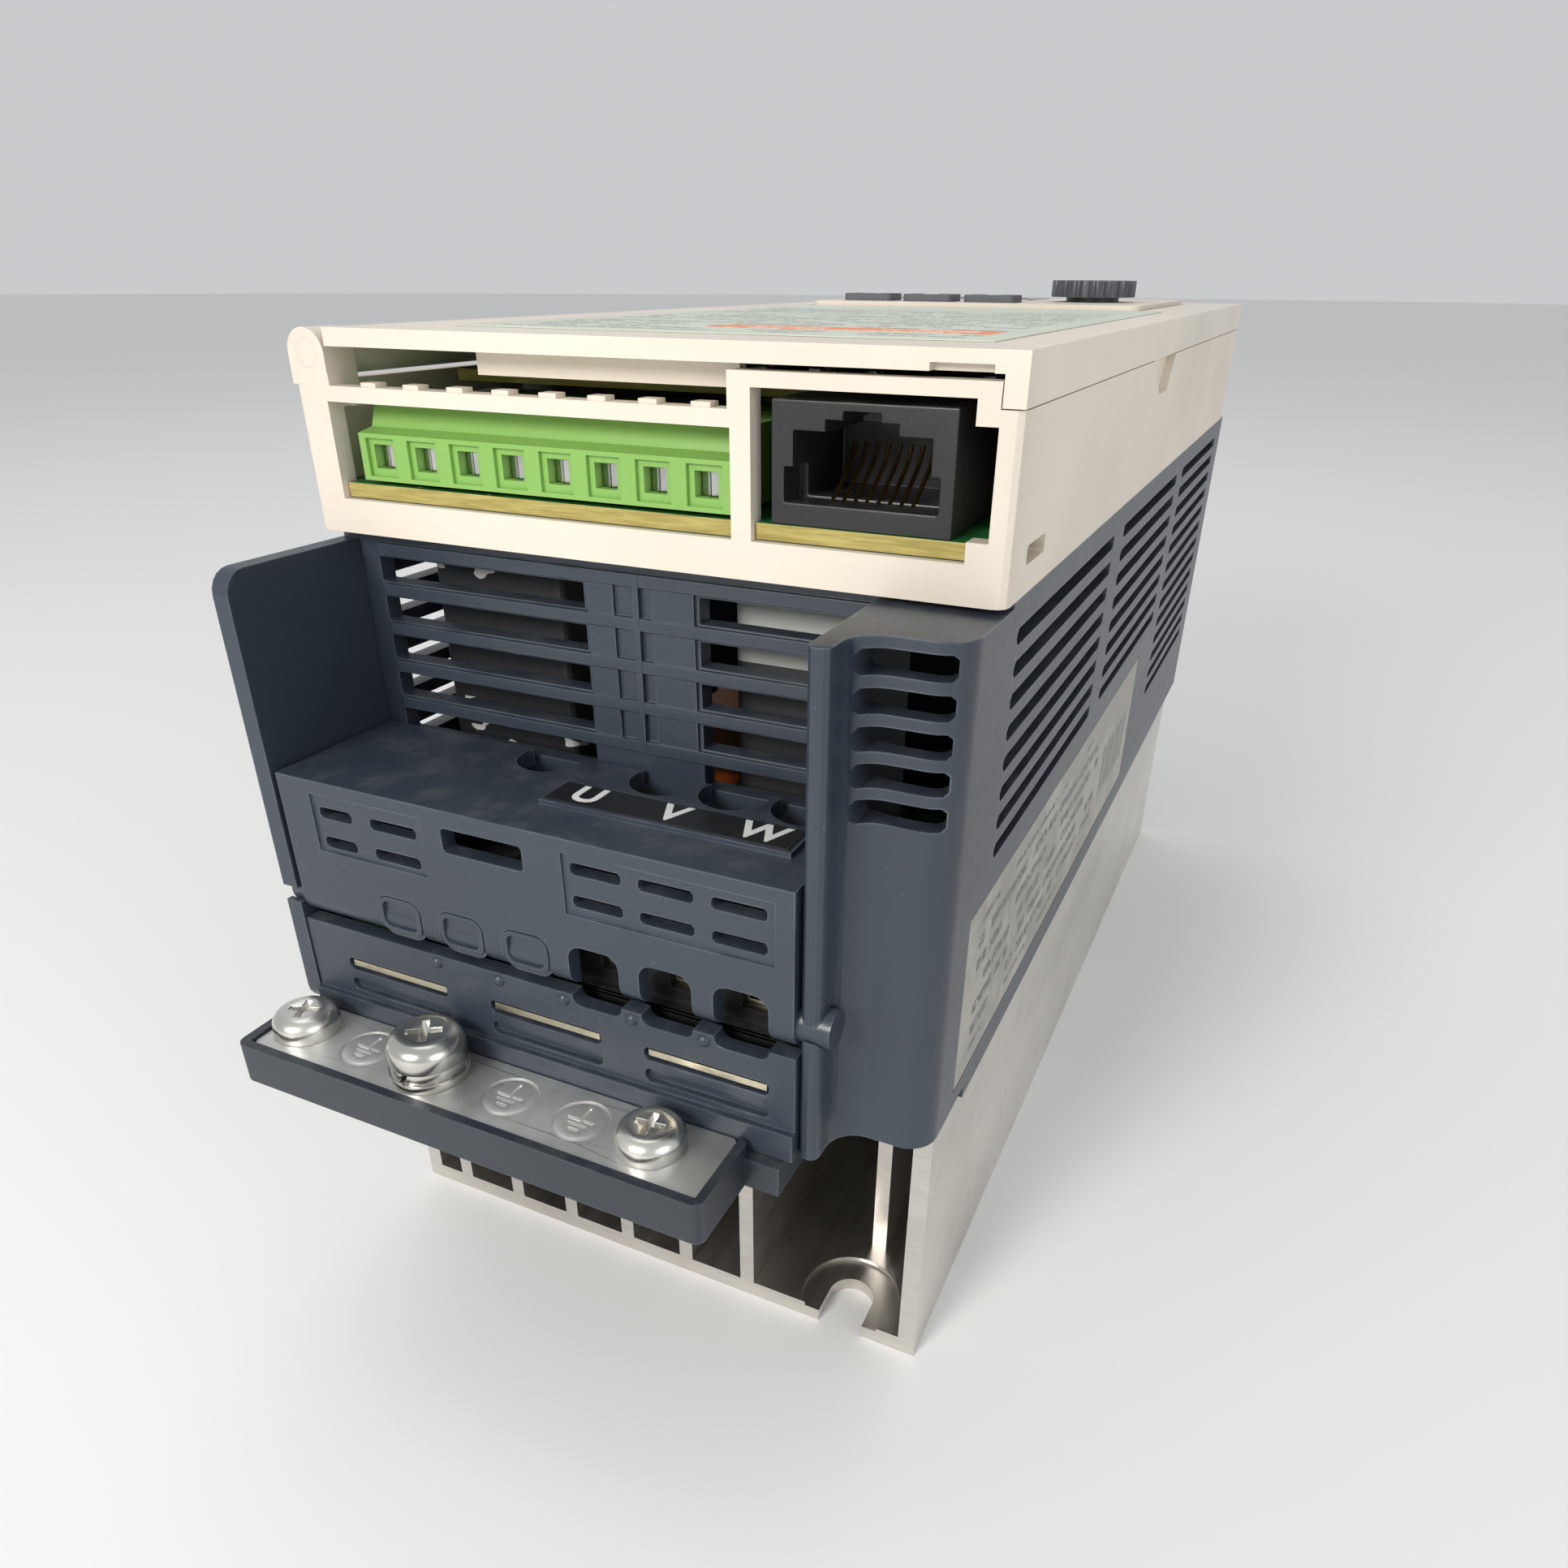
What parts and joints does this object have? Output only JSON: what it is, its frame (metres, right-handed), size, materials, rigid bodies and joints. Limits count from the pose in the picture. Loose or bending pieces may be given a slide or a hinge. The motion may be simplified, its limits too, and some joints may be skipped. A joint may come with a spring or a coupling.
{
  "type": "servo drive",
  "caption": "Compact servo drive on its finned heatsink, with a cream hinged front door, a louvred dark power casing, terminals and an earthing tray.",
  "frame": {"origin": "centre of the overall footprint, on the heatsink's mounting face", "axes": "+Z from the heatsink's mounting face to the front door, +Y from the terminal end to the far end, +X to the jack side"},
  "size_m": [0.072, 0.177, 0.1076],
  "materials": {
    "cream_plastic": "matte",
    "door_plastic": "matte",
    "dark_plastic": "matte",
    "cover_plastic": "matte",
    "tray_plastic": "matte",
    "sink_aluminium": "extruded",
    "zinc_plate": "zinc plated",
    "screw_steel": "zinc plated",
    "blade_metal": "tin plated",
    "clamp_steel": "passivated",
    "pad_grey": "matte",
    "black_plastic": "matte",
    "pcb_green": "solder mask",
    "pcb_dark": "solder mask",
    "can_sleeve": "sleeved",
    "film_box": "matte",
    "copper_wire": "enamelled",
    "connector_green": "moulded",
    "contact_gold": "gold plated",
    "label_black": "printed",
    "label_grey": "printed",
    "label_white": "printed",
    "display_red": "tinted",
    "key_grey": "matte",
    "dial_grey": "satin",
    "shaft_steel": "turned",
    "spacer_nylon": "natural"
  },
  "bodies": {
    "drive": {"heatsink": "sink_aluminium", "power_casing": "dark_plastic", "end_grille": "dark_plastic", "lower_shroud": "dark_plastic", "ground_tray": "tray_plastic", "ground_plate": "zinc_plate", "ground_screws": "screw_steel", "ground_main_screw": "screw_steel", "ground_flat_washer": "screw_steel", "ground_spring_washer": "screw_steel", "metal_blades": "blade_metal", "thermal_pad": "pad_grey", "power_module": "black_plastic", "module_screws": "screw_steel", "power_board": "pcb_green", "board_spacers": "clamp_steel", "board_screws": "screw_steel", "bus_capacitors": "can_sleeve", "film_capacitors": "film_box", "line_choke": "copper_wire", "transformer": "black_plastic", "riser_connector": "black_plastic", "power_terminal_block": "black_plastic", "clamp_screws": "clamp_steel", "clamp_cages": "blade_metal", "casing_screws": "screw_steel", "rating_label": "label_grey", "control_frame": "cream_plastic", "hinge_pins": "cream_plastic", "control_board": "pcb_green", "control_board_screws": "screw_steel", "processor": "black_plastic", "rj45_jack": "black_plastic", "rj45_contacts": "contact_gold", "terminal_header": "connector_green", "header_pins": "blade_metal", "interface_board": "pcb_dark", "interface_spacers": "spacer_nylon", "panel_bezel": "cream_plastic", "panel_board": "pcb_green", "display_digits": "display_red", "display_window": "display_red", "tact_switches": "black_plastic", "encoder_body": "black_plastic"},
    "door": {"front_door": "door_plastic", "door_sticker": "label_white"},
    "cover": {"terminal_cover": "cover_plastic", "cover_knockouts": "cover_plastic", "terminal_label": "label_black"},
    "plug": {"terminal_plug": "connector_green", "plug_cages": "blade_metal", "plug_screws": "screw_steel"},
    "key_mode_cap": {"key_mode": "key_grey"},
    "key_up_cap": {"key_up": "key_grey"},
    "key_down_cap": {"key_down": "key_grey"},
    "dial_shaft": {"encoder_shaft": "shaft_steel"},
    "dial": {"jog_dial": "dial_grey"}
  },
  "joints": [
    {"name": "door_hinge", "type": "hinge", "parent": "drive", "child": "door", "pos_m": [-0.0336, 0.0115, 0.1017], "axis": [0, -1, 0], "range_deg": [0, 110]},
    {"name": "cover_hinge", "type": "hinge", "parent": "drive", "child": "cover", "pos_m": [-0.0045, -0.0755, 0.05], "axis": [1, 0, 0], "range_deg": [0, 90]},
    {"name": "plug_pull", "type": "slide", "parent": "drive", "child": "plug", "axis": [0, -1, 0], "range_m": [0, 0.01]},
    {"name": "key_mode_press", "type": "slide", "parent": "drive", "child": "key_mode_cap", "axis": [0, 0, -1], "range_m": [0, 0.00075], "stiffness_N_per_m": 900},
    {"name": "key_up_press", "type": "slide", "parent": "drive", "child": "key_up_cap", "axis": [0, 0, -1], "range_m": [0, 0.00075], "stiffness_N_per_m": 900},
    {"name": "key_down_press", "type": "slide", "parent": "drive", "child": "key_down_cap", "axis": [0, 0, -1], "range_m": [0, 0.00075], "stiffness_N_per_m": 900},
    {"name": "dial_press", "type": "slide", "parent": "drive", "child": "dial_shaft", "axis": [0, 0, -1], "range_m": [0, 0.0005], "stiffness_N_per_m": 1500},
    {"name": "dial_turn", "type": "hinge", "parent": "dial_shaft", "child": "dial", "pos_m": [0.016, 0.0545, 0.105], "axis": [0, 0, 1], "continuous": true}
  ]
}
